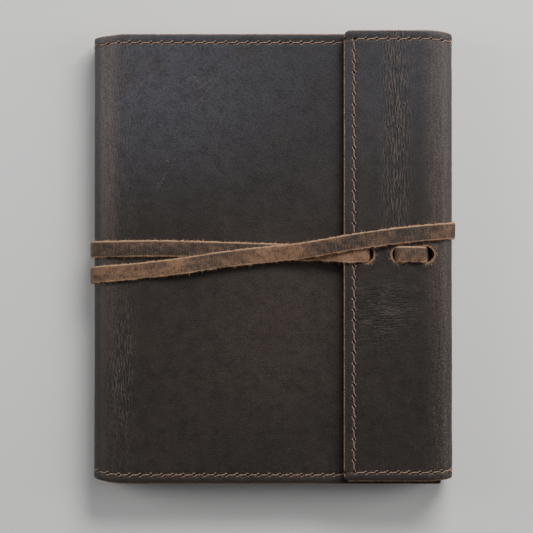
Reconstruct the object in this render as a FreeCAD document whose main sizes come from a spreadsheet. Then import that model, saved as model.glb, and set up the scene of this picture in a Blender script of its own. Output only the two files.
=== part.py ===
import FreeCAD, Part
import math
import os
import re

import Sketcher

# Leather wrap cover for a hard-cover notebook, closed and tied, lying on its back.
# +X runs from the spine to the fore edge, +Y from the tail to the head, +Z up through the thickness.
# The origin is the centre of the bounding box on the surface that the strap's back runs lie on.

os.makedirs("parts", exist_ok=True)
doc = FreeCAD.newDocument("NotebookCover")
sheet = doc.addObject("Spreadsheet::Sheet", "Sizes")

# Driving dimensions, in millimetres.
DRIVING = {
    "cover_height": 260.0,  # every leather panel, tail to head
    "panel_skew": 0.9,  # the front sits this much towards the tail, the flap towards the head
    "spine_face": -103.1,  # outer face of the spine
    "fore_face": 103.6,  # outer face of the fore edge
    "flap_edge": 40.7,  # free edge of the flap
    "front_edge": 97.4,  # hidden fore edge of the front panel
    "leather": 2.0,
    "lining": 0.8,
    "spine_radius": 9.5,
    "fore_radius": 7.5,
    "flap_corner": 4.3,
    "strap_width": 9.5,
    "strap_thick": 2.0,
    "strap_left": -105.6,  # outer face of the strap where it turns round the spine
    "strap_right": 105.6,  # outer face of the strap where it turns round the fore edge
    "strap_spine_bend": 12.0,
    "strap_fore_bend": 9.0,
    "strap_tail_end": 30.0,  # the strap's free end, tucked under the back
    "under_left_y": 4.2,  # where the strap's first run crosses the spine
    "over_left_y": -10.5,  # where its second run crosses the spine
    "over_right_y": 15.4,  # where it crosses the fore edge
    "hole_radius": 5.5,
    "weave_width": 8.2,  # the strap is pinched narrower where it goes through the holes
    "weave_reach": 3.2,  # half the length that the strap takes to go through a hole
    "hole_y": 1.6,
    "hole_near": 53.7,  # the three round holes that anchor the strap in the flap
    "hole_middle": 73.3,
    "hole_far": 88.3,
    "board_thick": 1.6,
    "board_start": -89.0,
    "board_end": 92.0,
    "board_height": 250.0,
    "sheets_thick": 1.75,  # one sewn signature
    "sheets_start": -98.1,
    "sheets_end": 89.5,
    "sheets_height": 245.0,
    "strip_face": -99.0,  # outer face of the notebook's spine strip
    "strip_thick": 0.6,
    "back_pocket_start": 22.0,
    "front_pocket_start": -30.0,
    "slack": 0.3,  # air between pieces of different bodies
    "flap_lift": 2.3,  # room for the strap's turns between the front panel and the flap
    "stitch_pitch": 6.2,
    "stitch_length": 4.6,
    "thread": 0.8,
    "thread_proud": 0.4,
    "seam_inset": 5.4,
}
SIGNATURES = 6

for row, (alias, value) in enumerate(DRIVING.items(), start=1):
    sheet.set(f"A{row}", alias)
    sheet.set(f"B{row}", str(value))
    sheet.setAlias(f"B{row}", alias)

# Levels of the stack, each worked out from the sizes above.
LEVELS = {
    "z_back": "=strap_thick",
    "z_back_lining": "=z_back + leather",
    "z_back_board": "=z_back_lining + lining",
    "z_back_pocket": "=z_back_board + board_thick",
    "z_sheets": "=z_back_pocket + lining",
    "z_front_pocket": f"=z_sheets + {SIGNATURES} * sheets_thick + slack",
    "z_front_board": "=z_front_pocket + lining",
    "z_front_lining": "=z_front_board + board_thick",
    "z_front": "=z_front_lining + lining",
    "z_front_top": "=z_front + leather",
    "z_flap_lining": "=z_front_top + flap_lift",
    "z_flap": "=z_flap_lining + lining",
    "z_flap_top": "=z_flap + leather",
    "spine_flat": "=spine_face + spine_radius",
    "fore_flat": "=fore_face - fore_radius",
    "y_back": "=-cover_height / 2",
    "y_front": "=y_back - panel_skew",
    "y_flap": "=y_back + panel_skew",
    "y_spine": "=y_back - panel_skew / 2",
    "y_fore": "=y_back + panel_skew / 2",
}
for row, (alias, formula) in enumerate(LEVELS.items(), start=len(DRIVING) + 1):
    sheet.set(f"A{row}", alias)
    sheet.set(f"B{row}", formula)
    sheet.setAlias(f"B{row}", alias)
doc.recompute()

size = {alias: float(getattr(sheet, alias)) for alias in (*DRIVING, *LEVELS)}
nodes = []
ALIAS = re.compile(r"\b(" + "|".join(size) + r")\b")


def origin_plane(body, role):
    """The named plane of a body's own origin."""
    return next(f for f in body.Origin.OriginFeatures if f.Role == role)


def bind(obj, prop, formula):
    """Binds a property to a formula in the sheet's aliases."""
    obj.setExpression(prop, ALIAS.sub(r"<<Sizes>>.\1", formula))


def place(obj, x, y, z):
    """Binds an object's place to three formulas."""
    for axis, formula in zip("xyz", (x, y, z)):
        bind(obj, f".Placement.Base.{axis}", formula)


def plate(name, x, y, z, wide, tall, thick):
    """A flat rectangular piece: a padded rectangle whose lower left corner is the body's origin."""
    body = doc.addObject("PartDesign::Body", name)
    body.Label = name
    sketch = body.newObject("Sketcher::SketchObject", f"{name}_outline")
    sketch.AttachmentSupport = [(origin_plane(body, "XY_Plane"), "")]
    sketch.MapMode = "FlatFace"
    corners = [FreeCAD.Vector(*c) for c in ((0, 0), (10, 0), (10, 10), (0, 10))]
    for i in range(4):
        sketch.addGeometry(Part.LineSegment(corners[i], corners[(i + 1) % 4]))
    for i in range(4):
        sketch.addConstraint(Sketcher.Constraint("Coincident", i, 2, (i + 1) % 4, 1))
    for line in (0, 2):
        sketch.addConstraint(Sketcher.Constraint("Horizontal", line))
    for line in (1, 3):
        sketch.addConstraint(Sketcher.Constraint("Vertical", line))
    sketch.addConstraint(Sketcher.Constraint("Coincident", 0, 1, -1, 1))
    for line, kind, formula in ((0, "wide", wide), (1, "tall", tall)):
        at = sketch.addConstraint(Sketcher.Constraint("Distance", line, 10.0))
        sketch.renameConstraint(at, kind)
        bind(sketch, f"Constraints.{kind}", formula)
    pad = body.newObject("PartDesign::Pad", f"{name}_pad")
    pad.Profile = sketch
    bind(pad, "Length", thick)
    body.Tip = pad
    place(body, x, y, z)
    doc.recompute()
    nodes.append(body)
    return body


def round_corners(body, at_left, radius):
    """Rounds the two upright edges on the left or the right side of a plate."""
    tip = body.Tip
    box = tip.Shape.BoundBox
    side = box.XMin if at_left else box.XMax
    edges = []
    for i, edge in enumerate(tip.Shape.Edges, start=1):
        b = edge.BoundBox
        if b.XLength < 0.01 and b.YLength < 0.01 and abs(b.XMin - side) < 0.01:
            edges.append(f"Edge{i}")
    fillet = body.newObject("PartDesign::Fillet", f"{body.Name}_corners")
    fillet.Base = (tip, edges)
    bind(fillet, "Radius", radius)
    body.Tip = fillet
    doc.recompute()


def punch_holes(body):
    """Punches the three round strap holes through a piece of the flap."""
    sketch = body.newObject("Sketcher::SketchObject", f"{body.Name}_hole_outlines")
    sketch.AttachmentSupport = [(origin_plane(body, "XY_Plane"), "")]
    sketch.MapMode = "FlatFace"
    base = body.Placement.Base
    for i, alias in enumerate(("hole_near", "hole_middle", "hole_far")):
        centre = FreeCAD.Vector(size[alias] - base.x, size["hole_y"] - base.y)
        up = FreeCAD.Vector(0, 0, 1)
        sketch.addGeometry(Part.Circle(centre, up, size["hole_radius"]))
        for kind, word, formula in (
            ("Radius", f"radius_{i}", "hole_radius"),
            ("DistanceX", f"across_{i}", f"{alias} - flap_edge"),
            ("DistanceY", f"up_{i}", "hole_y - y_flap"),
        ):
            if kind == "Radius":
                rule = Sketcher.Constraint(kind, i, size["hole_radius"])
            else:
                part = centre.x if kind == "DistanceX" else centre.y
                rule = Sketcher.Constraint(kind, -1, 1, i, 3, part)
            at = sketch.addConstraint(rule)
            sketch.renameConstraint(at, word)
            bind(sketch, f"Constraints.{word}", formula)
    before = body.Tip.Shape.Volume
    pocket = body.newObject("PartDesign::Pocket", f"{body.Name}_holes")
    pocket.Profile = sketch
    pocket.Type = "ThroughAll"
    pocket.Midplane = True
    body.Tip = pocket
    doc.recompute()
    if not pocket.Shape.Volume < before - 1:
        raise RuntimeError(f"{body.Name}: the strap holes cut nothing")


def turn(name, face, radius, inset, thick, low, high, y, opens_right):
    """A piece that turns from the back up round the spine or the fore edge, as a padded C-shaped
    section. face is the leather's outer face, radius its outer radius, inset how far inside it lies."""
    side = 1 if opens_right else -1
    body = doc.addObject("PartDesign::Body", name)
    body.Label = name
    sketch = body.newObject("Sketcher::SketchObject", f"{name}_section")
    sketch.AttachmentSupport = [(origin_plane(body, "XZ_Plane"), "")]
    sketch.MapMode = "FlatFace"
    flat = face + side * radius
    centres = (FreeCAD.Vector(flat, low + radius), FreeCAD.Vector(flat, high - radius))
    loops = []
    for depth in (inset, inset + thick):
        r = radius - depth
        wall = face + side * depth
        loops.append((r, wall, low + depth, high - depth))

    def arc(centre, r, lower):
        """A quarter turn between the level part and the upright wall."""
        middle = math.sqrt(0.5) * r
        level = FreeCAD.Vector(centre.x, centre.y + (-r if lower else r))
        wall = FreeCAD.Vector(centre.x - side * r, centre.y)
        bend = centre + FreeCAD.Vector(-side * middle, -middle if lower else middle)
        return Part.Arc(level, bend, wall)

    for r, wall, bottom, top in loops:
        sketch.addGeometry(arc(centres[0], r, True))
        ends = (FreeCAD.Vector(wall, centres[0].y), FreeCAD.Vector(wall, centres[1].y))
        sketch.addGeometry(Part.LineSegment(*ends))
        sketch.addGeometry(arc(centres[1], r, False))
    for low_end in (True, False):
        ends = [FreeCAD.Vector(flat, l[2] if low_end else l[3]) for l in loops]
        sketch.addGeometry(Part.LineSegment(*ends))
    pad = body.newObject("PartDesign::Pad", f"{name}_pad")
    pad.Profile = sketch
    pad.Reversed = True
    bind(pad, "Length", "cover_height")
    body.Tip = pad
    bind(body, ".Placement.Base.y", y)
    doc.recompute()
    nodes.append(body)


def feature(name, shape):
    """A piece whose shape is worked out below from the sheet's values."""
    obj = doc.addObject("Part::Feature", name)
    obj.Label = name
    obj.Shape = shape
    obj.Placement = FreeCAD.Placement()
    nodes.append(obj)


def prism(points, along):
    """A polygon pushed along a vector."""
    return Part.Face(Part.makePolygon([*points, points[0]])).extrude(along)


def strip(side_view, plan, width):
    """A length of the flat strap: side_view gives its middle's height along X, plan its middle's Y."""
    half_thick, half_wide = size["strap_thick"] / 2, width / 2
    far = 400.0
    band = [FreeCAD.Vector(x, -far / 2, z + half_thick) for x, z in side_view]
    band += [FreeCAD.Vector(x, -far / 2, z - half_thick) for x, z in reversed(side_view)]
    flat = [FreeCAD.Vector(x, y + half_wide, -far / 2) for x, y in plan]
    flat += [FreeCAD.Vector(x, y - half_wide, -far / 2) for x, y in reversed(plan)]
    return prism(band, FreeCAD.Vector(0, far, 0)).common(prism(flat, FreeCAD.Vector(0, 0, far)))


def strap_turn(face, inner, radius, low, high, y, opens_right):
    """The strap's turn round an edge of the cover: a C-shaped section as wide as the strap."""
    side = 1 if opens_right else -1
    flat = face + side * radius
    outer = Part.makeBox(radius, size["strap_width"], high - low)
    outer.translate(FreeCAD.Vector(min(face, flat), y - size["strap_width"] / 2, low))
    hollow_radius = radius - inner
    thick = size["strap_thick"]
    hollow = Part.makeBox(hollow_radius, size["strap_width"], high - low - 2 * thick)
    hollow.translate(FreeCAD.Vector(min(face + side * inner, flat), y - size["strap_width"] / 2,
                                    low + thick))
    shapes = []
    for block, wall, r in ((outer, face, radius), (hollow, face + side * inner, hollow_radius)):
        edges = [e for e in block.Edges if e.BoundBox.XLength < 0.01
                 and e.BoundBox.ZLength < 0.01 and abs(e.BoundBox.XMin - wall) < 0.01]
        shapes.append(block.makeFillet(r - 0.05, edges))
    return shapes[0].cut(shapes[1])


# ---- the outer leather, one hide in five stretches ----
plate("outer_back", "spine_flat", "y_back", "z_back", "fore_flat - spine_flat", "cover_height",
      "leather")
turn("outer_spine", size["spine_face"], size["spine_radius"], 0.0, size["leather"],
     size["z_back"], size["z_front_top"], "y_spine", True)
plate("outer_front", "spine_flat", "y_front", "z_front", "front_edge - spine_flat",
      "cover_height", "leather")
turn("outer_fore_edge", size["fore_face"], size["fore_radius"], 0.0, size["leather"],
     size["z_back"], size["z_flap_top"], "y_fore", False)
flap = plate("outer_flap", "flap_edge", "y_flap", "z_flap", "fore_flat - flap_edge",
             "cover_height", "leather")
round_corners(flap, True, "flap_corner")
punch_holes(flap)

# ---- the lining, glued and sewn to the inside of the hide ----
plate("lining_back", "spine_flat", "y_back", "z_back_lining", "fore_flat - spine_flat",
      "cover_height", "lining")
turn("lining_spine", size["spine_face"], size["spine_radius"], size["leather"], size["lining"],
     size["z_back"], size["z_front_top"], "y_spine", True)
plate("lining_front", "spine_flat", "y_front", "z_front_lining", "front_edge - spine_flat",
      "cover_height", "lining")
turn("lining_fore_edge", size["fore_face"], size["fore_radius"], size["leather"],
     size["lining"], size["z_back"], size["z_flap_top"], "y_fore", False)
flap_lining = plate("lining_flap", "flap_edge", "y_flap", "z_flap_lining",
                    "fore_flat - flap_edge", "cover_height", "lining")
round_corners(flap_lining, True, "flap_corner")
punch_holes(flap_lining)

# ---- the pocket sleeves that hold the notebook's boards ----
plate("back_pocket", "back_pocket_start", "y_back", "z_back_pocket",
      "fore_flat - back_pocket_start", "cover_height", "lining")
plate("front_pocket", "front_pocket_start", "y_front", "z_front_pocket",
      "front_edge - front_pocket_start", "cover_height", "lining")

# ---- the notebook ----
plate("notebook_back_board", "board_start", "-board_height / 2", "z_back_board",
      "board_end - board_start", "board_height", "board_thick")
plate("notebook_front_board", "board_start", "-board_height / 2 - panel_skew", "z_front_board",
      "board_end - board_start", "board_height", "board_thick")
for i in range(SIGNATURES):
    plate(f"notebook_signature_{i + 1}", "sheets_start", "-sheets_height / 2",
          f"z_sheets + {i} * sheets_thick", "sheets_end - sheets_start", "sheets_height",
          "sheets_thick")
plate("notebook_spine_strip", "strip_face", "-board_height / 2", "z_sheets + 2 * slack",
      "strip_thick", "board_height", f"{SIGNATURES} * sheets_thick - 4 * slack")

# ---- seams: each stitch is a short bar of thread lying on the hide ----


def stitch_row(start, end, fixed, along_x, level, outward):
    """Evenly spaced stitches from start to end; fixed is the other coordinate of the row."""
    count = max(1, int((end - start) / size["stitch_pitch"]))
    pitch = (end - start) / count
    bars = []
    for i in range(count):
        centre = start + (i + 0.5) * pitch
        long, wide = size["stitch_length"], size["thread"]
        box = Part.makeBox(long if along_x else wide, wide if along_x else long,
                           size["thread_proud"])
        x, y = (centre - long / 2, fixed - wide / 2) if along_x else (
            fixed - wide / 2, centre - long / 2)
        box.translate(FreeCAD.Vector(x, y, level if outward > 0 else level - size["thread_proud"]))
        bars.append(box)
    return bars


def head_and_tail(start, end, y, level, outward):
    """The two rows of stitches along the head and the tail of one panel."""
    low = y + size["seam_inset"]
    high = y + size["cover_height"] - size["seam_inset"]
    return (stitch_row(start, end, low, True, level, outward)
            + stitch_row(start, end, high, True, level, outward))


def upright_stitches(face, radius, low, high, y, outward):
    """The stitches on the upright wall of the spine or the fore edge, at the head and the tail."""
    bars = []
    bottom, top = low + radius, high - radius
    tall = min(size["stitch_length"], top - bottom)
    middle = (bottom + top) / 2
    for inset in (size["seam_inset"], size["cover_height"] - size["seam_inset"]):
        proud = size["thread_proud"]
        box = Part.makeBox(proud, size["thread"], tall)
        x = face if outward > 0 else face - proud
        box.translate(FreeCAD.Vector(x, y + inset - size["thread"] / 2, middle - tall / 2))
        bars.append(box)
    return bars


def clear_of_strap(bars, low, high):
    """Leaves out the stitches of an upright row where the strap passes over it."""
    return [b for b in bars if b.BoundBox.YMin > high or b.BoundBox.YMax < low]


clearance = 1.0
strap_low = size["hole_y"] - size["strap_width"] / 2 - clearance
under_high = size["hole_y"] + size["strap_width"] / 2 + clearance
over_high = size["over_right_y"]
row_margin = 8.0
front_seam_x = size["front_edge"] - size["seam_inset"] + 0.4
front_rows = head_and_tail(size["spine_flat"], front_seam_x - 3, size["y_front"],
                           size["z_front_top"], 1)
front_rows += clear_of_strap(
    stitch_row(size["y_front"] + row_margin, size["y_front"] + size["cover_height"] - row_margin,
               front_seam_x, False, size["z_front_top"], 1), strap_low, under_high)
feature("seam_front", Part.makeCompound(front_rows))
feature("seam_back", Part.makeCompound(
    head_and_tail(size["spine_flat"], size["fore_flat"], size["y_back"], size["z_back"], -1)))
feature("seam_spine", Part.makeCompound(
    upright_stitches(size["spine_face"], size["spine_radius"], size["z_back"],
                     size["z_front_top"], size["y_spine"], -1)))
feature("seam_fore_edge", Part.makeCompound(
    upright_stitches(size["fore_face"], size["fore_radius"], size["z_back"],
                     size["z_flap_top"], size["y_fore"], 1)))
flap_seam_x = size["flap_edge"] + size["seam_inset"] + 0.7
flap_rows = head_and_tail(flap_seam_x + 2, size["fore_flat"], size["y_flap"],
                          size["z_flap_top"], 1)
flap_rows += clear_of_strap(
    stitch_row(size["y_flap"] + row_margin, size["y_flap"] + size["cover_height"] - row_margin,
               flap_seam_x, False, size["z_flap_top"], 1), strap_low, over_high)
feature("seam_flap", Part.makeCompound(flap_rows))

# ---- the strap, one long lace of flat leather ----
half = size["strap_thick"] / 2
wide = size["strap_width"]
on_back = half
on_front = size["z_front_top"] + half
under_flap = size["z_front_top"] + half + 0.15
on_flap = size["z_flap_top"] + half
over_flap = on_flap + size["strap_thick"] + 0.1
over_front = on_front + size["strap_thick"] + 0.1
near, middle, far = size["hole_near"], size["hole_middle"], size["hole_far"]
hole_y = size["hole_y"]
under_left_y, over_left_y = size["under_left_y"], size["over_left_y"]
over_right_y = size["over_right_y"]
weave_start = near - 8
weave_end = far + 7.5

reach = size["weave_reach"]
feature("strap_anchor_weave", strip(
    [(weave_start, on_flap), (near - reach, on_flap), (near + reach, under_flap),
     (middle - reach, under_flap), (middle + reach, on_flap), (far - reach, on_flap),
     (far + reach, under_flap), (weave_end, under_flap)],
    [(weave_start, hole_y), (weave_end, hole_y)], size["weave_width"]))
# The first run lies on the front panel and rises over the flap's free edge to the near hole.
turn_flat = size["strap_left"] + size["strap_spine_bend"]
feature("strap_under_run", strip(
    [(turn_flat, on_front), (8, on_front), (size["flap_edge"] - 2, on_flap), (weave_start, on_flap)],
    [(turn_flat, under_left_y), (-60, 5.2), (0, 3.9), (weave_start, hole_y)], wide))
# The second run crosses over the first one.
right_flat = size["strap_right"] - size["strap_fore_bend"]
feature("strap_over_run", strip(
    [(turn_flat, on_front), (-72, on_front), (-52, over_front), (4, over_front + 0.1),
     (size["flap_edge"] - 7, over_flap), (near + 7, over_flap), (near + 19, on_flap),
     (right_flat, on_flap)],
    [(turn_flat, over_left_y), (-62, -6.8), (-29, -1.3), (15, 3.2), (57, 10.4),
     (right_flat, over_right_y)], wide))
feature("strap_spine_turns", Part.makeCompound([
    strap_turn(size["strap_left"], size["strap_thick"], size["strap_spine_bend"], 0.0,
               on_front + half, y, True)
    for y in (under_left_y, over_left_y)]))
feature("strap_fore_edge_turn", strap_turn(
    size["strap_right"], size["strap_right"] - size["fore_face"] - 0.05,
    size["strap_fore_bend"], 0.0, on_flap + half, over_right_y, False))
tail_end = size["strap_tail_end"]
feature("strap_back_runs", Part.makeCompound([
    strip([(turn_flat, on_back), (right_flat, on_back)],
          [(turn_flat, under_left_y), (right_flat, over_right_y)], wide),
    strip([(turn_flat, on_back), (tail_end, on_back)],
          [(turn_flat, over_left_y), (tail_end, -15.0)], wide)]))

doc.recompute()
for obj in doc.Objects:
    if {"Invalid", "Error"} & set(obj.State):
        raise RuntimeError(f"{obj.Name} failed: {obj.State}")
for node in nodes:
    if node.Shape.isNull() or not node.Shape.isValid():
        raise RuntimeError(f"{node.Label} has no valid shape")
    b = node.Shape.BoundBox
    print(f"{node.Label:24s} {len(node.Shape.Solids):3d} {node.Shape.Volume:10.1f} "
          f"x {b.XMin:7.2f} {b.XMax:7.2f} y {b.YMin:7.2f} {b.YMax:7.2f} z {b.ZMin:6.2f} {b.ZMax:6.2f}")
    node.Shape.exportStep(os.path.join("parts", f"{node.Label}.step"))
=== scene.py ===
"""Leather notebook cover, closed and tied: the looks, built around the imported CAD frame.

The hide is one long sheet that follows a course round the closed book. Every point of it has flat
coordinates in millimetres (along the course, up the height, through the thickness), which are kept in
the point attribute "flat", so that grain, wear and needle holes run on across the folds and the joins.
"""

import math

import bpy
import numpy as np
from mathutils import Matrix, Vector


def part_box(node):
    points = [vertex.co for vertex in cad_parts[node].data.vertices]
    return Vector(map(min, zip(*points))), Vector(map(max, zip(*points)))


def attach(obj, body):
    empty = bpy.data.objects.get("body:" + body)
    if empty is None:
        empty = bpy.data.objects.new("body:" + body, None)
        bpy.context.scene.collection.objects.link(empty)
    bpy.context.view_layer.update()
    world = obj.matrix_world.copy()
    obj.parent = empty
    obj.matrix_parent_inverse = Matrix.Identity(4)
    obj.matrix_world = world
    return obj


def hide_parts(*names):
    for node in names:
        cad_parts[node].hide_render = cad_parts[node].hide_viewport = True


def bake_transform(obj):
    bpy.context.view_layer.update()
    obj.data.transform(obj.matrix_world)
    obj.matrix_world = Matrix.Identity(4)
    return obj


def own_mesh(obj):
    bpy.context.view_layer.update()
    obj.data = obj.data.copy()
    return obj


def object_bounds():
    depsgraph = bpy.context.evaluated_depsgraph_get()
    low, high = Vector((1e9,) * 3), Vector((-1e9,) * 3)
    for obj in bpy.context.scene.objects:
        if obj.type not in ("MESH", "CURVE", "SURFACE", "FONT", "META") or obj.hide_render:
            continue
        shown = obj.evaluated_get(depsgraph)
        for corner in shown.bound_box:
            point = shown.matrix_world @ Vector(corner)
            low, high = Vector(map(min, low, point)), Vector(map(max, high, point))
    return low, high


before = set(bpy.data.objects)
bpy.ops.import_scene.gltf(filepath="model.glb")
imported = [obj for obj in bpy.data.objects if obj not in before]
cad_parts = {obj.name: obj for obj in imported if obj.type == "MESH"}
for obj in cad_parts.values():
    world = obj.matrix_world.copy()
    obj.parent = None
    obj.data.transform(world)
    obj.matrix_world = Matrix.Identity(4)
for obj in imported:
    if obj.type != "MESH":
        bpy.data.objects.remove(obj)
cad_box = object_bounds()

MM = 0.001


def node_box(name):
    """A node's lowest and highest corners, in millimetres."""
    low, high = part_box(name)
    return np.array(low) / MM, np.array(high) / MM


# ---------------------------------------------------------------- places taken from the frame
FRONT_LOW, FRONT_HIGH = node_box("outer_front")
SPINE_LOW, SPINE_HIGH = node_box("outer_spine")
FORE_LOW, FORE_HIGH = node_box("outer_fore_edge")
FLAP_LOW, FLAP_HIGH = node_box("outer_flap")
LINING_LOW, LINING_HIGH = node_box("lining_front")
HIDE = FRONT_HIGH[2] - FRONT_LOW[2]
LINING = LINING_HIGH[2] - LINING_LOW[2]
HEIGHT = FRONT_HIGH[1] - FRONT_LOW[1]
SPINE_BEND = SPINE_HIGH[0] - SPINE_LOW[0]
FORE_BEND = FORE_HIGH[0] - FORE_LOW[0]
BASE_Z, TOP_Z, FLAP_Z = node_box("outer_back")[0][2], FRONT_HIGH[2], FLAP_HIGH[2]
SPINE_X, FORE_X = SPINE_LOW[0], FORE_HIGH[0]
FRONT_SHIFT = (FRONT_LOW[1] + FRONT_HIGH[1]) / 2
FLAP_SHIFT = (FLAP_LOW[1] + FLAP_HIGH[1]) / 2
STRAP_LOW, STRAP_HIGH = node_box("strap_back_runs")
STRAP = STRAP_HIGH[2] - STRAP_LOW[2]
STRAP_LEFT = node_box("strap_spine_turns")[0][0]
STRAP_RIGHT = node_box("strap_fore_edge_turn")[1][0]
WEAVE_LOW, WEAVE_HIGH = node_box("strap_anchor_weave")
HOLE_Y = (WEAVE_LOW[1] + WEAVE_HIGH[1]) / 2

# ---------------------------------------------------------------- sizes that the boxes don't give
STRAP_WIDE = 9.5
HOLE_XS = (53.7, 73.3, 88.3)
HOLE_RADIUS = 5.5
SEAM_INSET = 5.4
STITCH_PITCH = 6.2
THREAD_RADIUS = 0.30
THREAD_ASIDE = 0.92  # how far a stitch's ends lie beside the row of holes
THREAD_OVERLAP = 0.75  # how far a stitch's ends run past the holes
EDGE_BULGE = 0.3  # how far a cut edge is rounded
CORNER = 4.3  # the radius that the free corners are cut to
LACE_RIM = 0.45  # how far the lace's edges are rounded
HOLE_SIDES = 44
HOLE_FIBRES = 110
SLAB_STEP = 4.0  # how far apart the points of a slab's outline are
GROOVES = 9  # levels down the side of a signature, alternately in and out
FLOOR_REACH = 4000.0
# The camera looks straight down from this height, from a little beside the object's middle, in metres.
CAMERA_HEIGHT, CAMERA_ASIDE, CAMERA_BELOW = 1.559, 0.0034, 0.0053


# ---------------------------------------------------------------- noise and small helpers
def chance(ix, iy, seed):
    """A repeatable number from 0 to 1 for each whole-number place."""
    n = (ix * 374761393 + iy * 668265263 + seed * 2147483647) & 0xFFFFFFFF
    n = ((n ^ (n >> 13)) * 1274126177) & 0xFFFFFFFF
    return ((n ^ (n >> 16)) & 0xFFFFFF) / 0xFFFFFF


def noise(x, y, seed=0):
    """Smooth value noise from -1 to 1."""
    x, y = np.broadcast_arrays(np.asarray(x, float), np.asarray(y, float))
    ix, iy = np.floor(x).astype(np.int64), np.floor(y).astype(np.int64)
    fx, fy = x - ix, y - iy
    fx, fy = fx * fx * (3 - 2 * fx), fy * fy * (3 - 2 * fy)
    a, b = chance(ix, iy, seed), chance(ix + 1, iy, seed)
    c, d = chance(ix, iy + 1, seed), chance(ix + 1, iy + 1, seed)
    return 2 * ((a * (1 - fx) + b * fx) * (1 - fy) + (c * (1 - fx) + d * fx) * fy) - 1


def unit(vectors):
    """The same directions with length 1."""
    return vectors / np.maximum(np.linalg.norm(vectors, axis=-1, keepdims=True), 1e-9)


def smooth(x, low, high):
    """0 below low, 1 above high, and smooth between."""
    t = np.clip((np.asarray(x, float) - low) / (high - low), 0, 1)
    return t * t * (3 - 2 * t)


def spaced(low, high, step, dense=()):
    """Places from low to high, step apart, and closer where dense says: (centre, reach, step)."""
    places, at = [low], low
    while at < high:
        here = step
        for centre, reach, fine in dense:
            if abs(at - centre) < reach:
                here = min(here, fine)
        at = at + here
        places.append(at)
    places = np.array(places)
    return low + (places - low) * (high - low) / (places[-1] - low)


class Course:
    """A line in the XZ plane, of straight runs joined by arcs, measured along its length."""

    def __init__(self, corners, radii):
        points = [np.array(c, float) for c in corners]
        path = [points[0]]
        for i in range(1, len(points) - 1):
            before, here, after = points[i - 1], points[i], points[i + 1]
            u, v = unit(before - here), unit(after - here)
            half = math.acos(np.clip(np.dot(u, v), -1, 1)) / 2
            radius = radii[i - 1]
            back = radius / math.tan(half)
            centre = here + unit(u + v) * radius / math.sin(half)
            start, end = here + u * back - centre, here + v * back - centre
            turn = math.pi - 2 * half
            steps = max(4, int(math.degrees(turn) / 3))
            for k in range(steps + 1):
                t = k / steps
                w = (math.sin((1 - t) * turn) * start + math.sin(t * turn) * end) / math.sin(turn)
                path.append(centre + w)
        path.append(points[-1])
        path = np.array(path)
        length = np.concatenate([[0], np.cumsum(np.linalg.norm(np.diff(path, axis=0), axis=1))])
        keep = np.concatenate([[True], np.diff(length) > 1e-6])
        self.path, self.at_path = path[keep], length[keep]
        self.length = float(self.at_path[-1])
        self.tangent = unit(np.gradient(self.path, self.at_path, axis=0))

    def read(self, s, values):
        return np.stack([np.interp(s, self.at_path, values[:, k]) for k in (0, 1)], axis=-1)

    def point(self, s):
        return self.read(s, self.path)

    def outward(self, s):
        """The normal on the left of the way the course runs, which is the outer side here."""
        tangent = unit(self.read(s, self.tangent))
        return np.stack([tangent[..., 1], -tangent[..., 0]], axis=-1)


def add_object(name, data):
    obj = bpy.data.objects.new(name, data)
    bpy.context.scene.collection.objects.link(obj)
    return obj


def make_mesh(name, points, faces, attributes, material, smooth_angle=50):
    """A mesh object in metres from points in millimetres, with float or vector point attributes."""
    mesh = bpy.data.meshes.new(name)
    mesh.from_pydata([tuple(p) for p in np.asarray(points) * MM], [], faces)
    for key, values in attributes.items():
        values = np.asarray(values, np.float32)
        kind = "FLOAT_VECTOR" if values.ndim == 2 else "FLOAT"
        attribute = mesh.attributes.new(key, kind, "POINT")
        attribute.data.foreach_set("vector" if values.ndim == 2 else "value", values.ravel())
    mesh.validate()
    mesh.update()
    mesh.materials.append(material)
    mesh.polygons.foreach_set("use_smooth", [True] * len(mesh.polygons))
    mesh.set_sharp_from_angle(angle=math.radians(smooth_angle))
    return add_object(name, mesh)


def tube_faces(rings, around, flip=False):
    """The faces of a closed tube of rings of points, and inside out if flip is set."""
    grid = np.arange(rings * around).reshape(rings, around)
    right = np.roll(grid, -1, axis=1)
    faces = np.stack([grid[:-1], right[:-1], right[1:], grid[1:]], axis=-1).reshape(-1, 4).tolist()
    faces += [grid[0][::-1].tolist(), grid[-1].tolist()]
    return [face[::-1] for face in faces] if flip else faces


# ---------------------------------------------------------------- shader graph helper
def sign(operation, swapped=False):
    """One of Python's signs between Values and numbers, as a Math node."""
    def join(a, b=0.0):
        return a.graph.math(operation, *((b, a) if swapped else (a, b)))
    return join


class Value:
    """What a node gives out."""

    __array_ufunc__ = None  # numpy's numbers leave their sums with these to this class
    __add__, __sub__, __rsub__ = sign("ADD"), sign("SUBTRACT"), sign("SUBTRACT", swapped=True)
    __mul__, __truediv__, __abs__ = sign("MULTIPLY"), sign("DIVIDE"), sign("ABSOLUTE")

    def __init__(self, graph, socket):
        self.graph, self.socket = graph, socket

    def clamped(self):
        """The same value, kept between 0 and 1."""
        self.socket.node.use_clamp = True
        return self


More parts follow.
